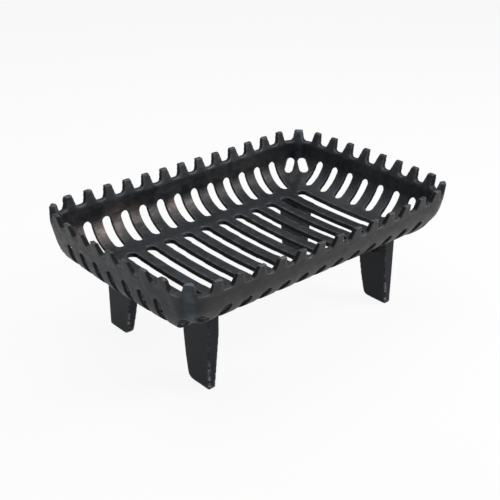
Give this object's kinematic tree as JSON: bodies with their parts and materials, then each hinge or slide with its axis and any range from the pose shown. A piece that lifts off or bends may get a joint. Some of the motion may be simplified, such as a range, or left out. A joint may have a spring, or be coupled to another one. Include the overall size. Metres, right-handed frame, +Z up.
{
  "type": "log grate",
  "caption": "Cast-iron log grate: a dished, slotted basket with a castellated rim, on tapered blade legs, which holds burning logs above a hearth",
  "frame": {"origin": "on the ground, under the middle of the basket", "axes": "+X along the basket's length to the right, +Y across it to the back, +Z up"},
  "size_m": [0.4558, 0.3014, 0.1712],
  "materials": {
    "cast_iron_basket": "sand-cast, blackened, satin, worn bright on edges",
    "cast_iron_legs": "smoother casting, blue-black, satin",
    "fasteners": "black-oxide steel"
  },
  "bodies": {
    "root": {"basket": "cast_iron_basket", "leg_front_left": "cast_iron_legs", "leg_front_right": "cast_iron_legs", "leg_back_left": "cast_iron_legs", "leg_back_right": "cast_iron_legs", "bolt_front_left": "fasteners", "bolt_front_right": "fasteners", "bolt_back_left": "fasteners", "bolt_back_right": "fasteners", "washer_front_left": "fasteners", "washer_front_right": "fasteners", "washer_back_left": "fasteners", "washer_back_right": "fasteners"}
  },
  "joints": []
}
